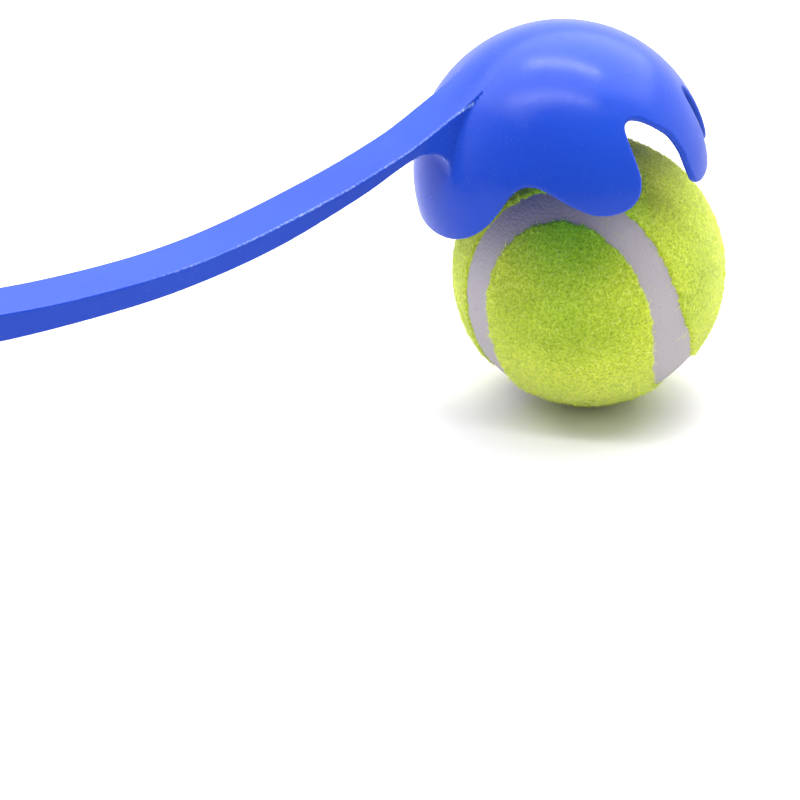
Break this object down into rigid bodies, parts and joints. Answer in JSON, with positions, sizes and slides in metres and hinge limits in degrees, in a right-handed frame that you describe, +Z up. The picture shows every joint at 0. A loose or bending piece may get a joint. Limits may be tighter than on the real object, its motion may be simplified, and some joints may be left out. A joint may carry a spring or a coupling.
{
  "type": "ball launcher",
  "caption": "Curved launcher with a cored, finger-scalloped grip at one end and an open lobed cup at the other that snaps over a felt-covered rubber ball.",
  "frame": {"origin": "the middle of the grip, where the palm closes on it, in the launcher's plane of symmetry", "axes": "+X along the launcher from the pommel towards the cup, +Y across its width, +Z up as in the picture, with the cup open downwards over the ball"},
  "size_m": [0.4507, 0.0687, 0.1757],
  "materials": {
    "launcher_plastic": "semi-gloss moulded plastic with light wear along the arm's edges",
    "core_rubber": "matt moulded rubber",
    "ball_felt": "napped felt",
    "seam_rubber": "matt grey rubber"
  },
  "bodies": {
    "launcher": {"launcher_body": "launcher_plastic"},
    "ball": {"ball_core_half_a": "core_rubber", "ball_core_half_b": "core_rubber", "ball_felt_panel_a": "ball_felt", "ball_felt_panel_b": "ball_felt", "ball_seam_band": "seam_rubber"}
  },
  "joints": [
    {"name": "ball_release", "type": "slide", "parent": "launcher", "child": "ball", "axis": [0.2924, 0, -0.9563], "range_m": [-0.0283, 0]}
  ]
}
